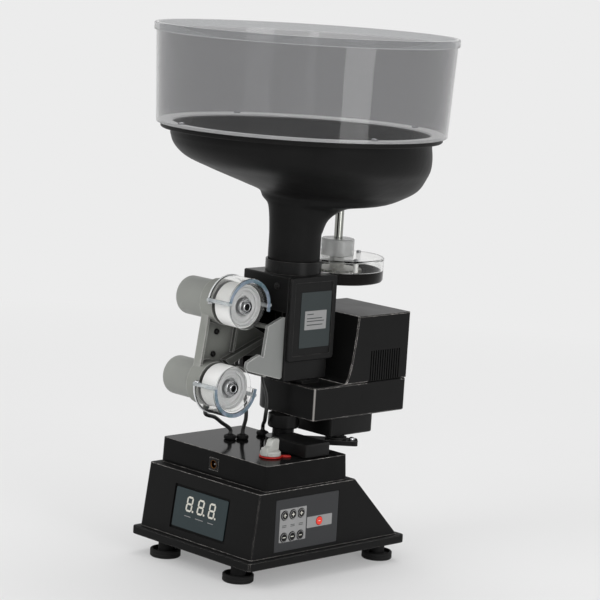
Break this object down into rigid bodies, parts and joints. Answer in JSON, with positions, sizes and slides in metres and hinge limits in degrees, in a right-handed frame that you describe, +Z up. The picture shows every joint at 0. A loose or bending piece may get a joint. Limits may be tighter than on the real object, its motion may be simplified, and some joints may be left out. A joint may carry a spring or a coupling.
{
  "type": "table tennis robot",
  "caption": "Table tennis ball-throwing robot: ball hopper with stirrer over a panning head, tilting two-wheel launcher and a keypad base on levelling feet.",
  "frame": {"origin": "pan axis of the head at the level of the feet's bottom faces, also the bottom centre of the whole part's box", "axes": "+Z up along the pan axis, -Y the way the balls leave, +X the side of the keypad"},
  "size_m": [0.3024, 0.3024, 0.5324],
  "materials": {
    "foot_rubber": "matte moulded rubber",
    "plate_black": "fine textured black paint",
    "shell_black": "fine textured black moulding",
    "display_tint": "tinted glossy window",
    "module_dark": "dark display module",
    "keypad_dark": "dark satin panel with light grey fields",
    "key_black": "satin black key cap",
    "button_red": "glossy red button",
    "board_green": "circuit board",
    "deck_gloss": "polished black",
    "socket_metal": "plated power socket",
    "grommet_rubber": "soft black rubber",
    "ring_red": "red satin marker",
    "knob_grey": "light grey satin knob",
    "satin_black": "satin black moulding with polished edges",
    "arm_black": "satin black paint",
    "screw_chrome": "polished",
    "steel": "turned steel",
    "bowl_black": "semi-gloss black moulding",
    "wall_clear": "smoky clear plastic",
    "gear_case_smoke": "smoky clear plastic",
    "clear_plastic": "clear plastic with bluish edges",
    "gear_plastic": "light grey acetal",
    "frame_grey": "warm grey moulding",
    "yoke_grey": "light grey moulding",
    "motor_grey": "warm grey satin paint",
    "tyre_white": "white soft tread",
    "hub_chrome": "polished hub",
    "lead_black": "black lead"
  },
  "bodies": {
    "base": {"base_plate": "plate_black", "base_shell": "shell_black", "display_window": "display_tint", "display_module": "module_dark", "keypad_panel": "keypad_dark", "control_board": "board_green", "top_case": "deck_gloss", "jack_socket": "socket_metal", "grommet_lower": "grommet_rubber", "grommet_upper": "grommet_rubber", "grommet_head": "grommet_rubber", "plinth": "satin_black", "swing_arm": "arm_black", "arm_screw": "screw_chrome", "post": "arm_black", "lead_lower": "lead_black", "lead_upper": "lead_black", "lead_head": "lead_black"},
    "foot_front_left": {"foot_front_left": "foot_rubber"},
    "foot_front_right": {"foot_front_right": "foot_rubber"},
    "foot_rear_left": {"foot_rear_left": "foot_rubber"},
    "foot_rear_right": {"foot_rear_right": "foot_rubber"},
    "knob": {"knob_ring": "ring_red", "pointer_knob": "knob_grey"},
    "key_up_1": {"key_up_1": "key_black"},
    "key_down_1": {"key_down_1": "key_black"},
    "key_up_2": {"key_up_2": "key_black"},
    "key_down_2": {"key_down_2": "key_black"},
    "key_up_3": {"key_up_3": "key_black"},
    "key_down_3": {"key_down_3": "key_black"},
    "power_button": {"power_button": "button_red"},
    "head": {"pan_collar": "satin_black", "lower_tray": "satin_black", "swing_gearbox": "satin_black", "upper_housing": "satin_black", "channel_block": "satin_black", "label_cover": "satin_black", "pivot_bolt_left": "steel", "pivot_bolt_right": "steel", "hopper_bowl": "bowl_black", "hopper_wall": "wall_clear", "agitator_motor": "steel", "gear_case": "gear_case_smoke", "gear_cover": "clear_plastic", "bearing_cap": "clear_plastic"},
    "crank": {"swing_crank": "steel"},
    "agitator": {"agitator_shaft": "screw_chrome", "drive_gear": "gear_plastic", "stirrer": "satin_black"},
    "pinion": {"drive_pinion": "steel"},
    "wheel_unit": {"wheel_frame": "frame_grey", "yoke_arm": "yoke_grey", "motor_upper": "motor_grey", "motor_lower": "motor_grey", "guard_upper": "clear_plastic", "guard_lower": "clear_plastic"},
    "wheel_upper": {"wheel_tyre_upper": "tyre_white", "wheel_hub_upper": "hub_chrome"},
    "wheel_lower": {"wheel_tyre_lower": "tyre_white", "wheel_hub_lower": "hub_chrome"}
  },
  "joints": [
    {"name": "foot_front_left_height", "type": "slide", "parent": "base", "child": "foot_front_left", "axis": [0, 0, -1], "range_m": [0, 0.006]},
    {"name": "foot_front_right_height", "type": "slide", "parent": "base", "child": "foot_front_right", "axis": [0, 0, -1], "range_m": [0, 0.006]},
    {"name": "foot_rear_left_height", "type": "slide", "parent": "base", "child": "foot_rear_left", "axis": [0, 0, -1], "range_m": [0, 0.006]},
    {"name": "foot_rear_right_height", "type": "slide", "parent": "base", "child": "foot_rear_right", "axis": [0, 0, -1], "range_m": [0, 0.006]},
    {"name": "knob_turn", "type": "hinge", "parent": "base", "child": "knob", "pos_m": [0.046, -0.061, 0.1176], "axis": [0, 0, 1], "range_deg": [-150, 120]},
    {"name": "key_up_1_press", "type": "slide", "parent": "base", "child": "key_up_1", "axis": [-0.9999, 0, -0.0124], "range_m": [0, 0.0007], "stiffness_N_per_m": 800, "springref_m": -0.0015},
    {"name": "key_down_1_press", "type": "slide", "parent": "base", "child": "key_down_1", "axis": [-0.9999, 0, -0.0124], "range_m": [0, 0.0007], "stiffness_N_per_m": 800, "springref_m": -0.0015},
    {"name": "key_up_2_press", "type": "slide", "parent": "base", "child": "key_up_2", "axis": [-0.9999, 0, -0.0124], "range_m": [0, 0.0007], "stiffness_N_per_m": 800, "springref_m": -0.0015},
    {"name": "key_down_2_press", "type": "slide", "parent": "base", "child": "key_down_2", "axis": [-0.9999, 0, -0.0124], "range_m": [0, 0.0007], "stiffness_N_per_m": 800, "springref_m": -0.0015},
    {"name": "key_up_3_press", "type": "slide", "parent": "base", "child": "key_up_3", "axis": [-0.9999, 0, -0.0124], "range_m": [0, 0.0007], "stiffness_N_per_m": 800, "springref_m": -0.0015},
    {"name": "key_down_3_press", "type": "slide", "parent": "base", "child": "key_down_3", "axis": [-0.9999, 0, -0.0124], "range_m": [0, 0.0007], "stiffness_N_per_m": 800, "springref_m": -0.0015},
    {"name": "power_button_press", "type": "slide", "parent": "base", "child": "power_button", "axis": [-0.9999, 0, -0.0124], "range_m": [0, 0.0007], "stiffness_N_per_m": 800, "springref_m": -0.0015},
    {"name": "head_pan", "type": "hinge", "parent": "base", "child": "head", "pos_m": [0, 0, 0.132], "axis": [0, 0, 1], "range_deg": [-7.2, 7.2], "deforming": ["lead_lower", "lead_upper", "lead_head"]},
    {"name": "crank_turn", "type": "hinge", "parent": "head", "child": "crank", "pos_m": [0.036, 0.03998, 0.1243], "axis": [0, 0, 1], "range_deg": [-66, 66]},
    {"name": "wheel_tilt", "type": "hinge", "parent": "head", "child": "wheel_unit", "pos_m": [0, 0, 0.2101], "axis": [-1, 0, 0], "range_deg": [-12, 6]},
    {"name": "agitator_spin", "type": "hinge", "parent": "head", "child": "agitator", "pos_m": [-0.015, 0.077, 0.2872], "axis": [0, 0, 1], "continuous": true},
    {"name": "pinion_spin", "type": "hinge", "parent": "head", "child": "pinion", "pos_m": [-0.02601, 0.04802, 0.2872], "axis": [0, 0, 1], "continuous": true},
    {"name": "wheel_upper_spin", "type": "hinge", "parent": "wheel_unit", "child": "wheel_upper", "pos_m": [0, -0.07341, 0.26198], "axis": [1, 0, 0], "continuous": true},
    {"name": "wheel_lower_spin", "type": "hinge", "parent": "wheel_unit", "child": "wheel_lower", "pos_m": [0, -0.08527, 0.18165], "axis": [1, 0, 0], "continuous": true}
  ],
  "couplings": [
    {"joint": "crank_turn", "follows": "head_pan", "ratio": -9},
    {"joint": "pinion_spin", "follows": "agitator_spin", "ratio": -4.5}
  ]
}
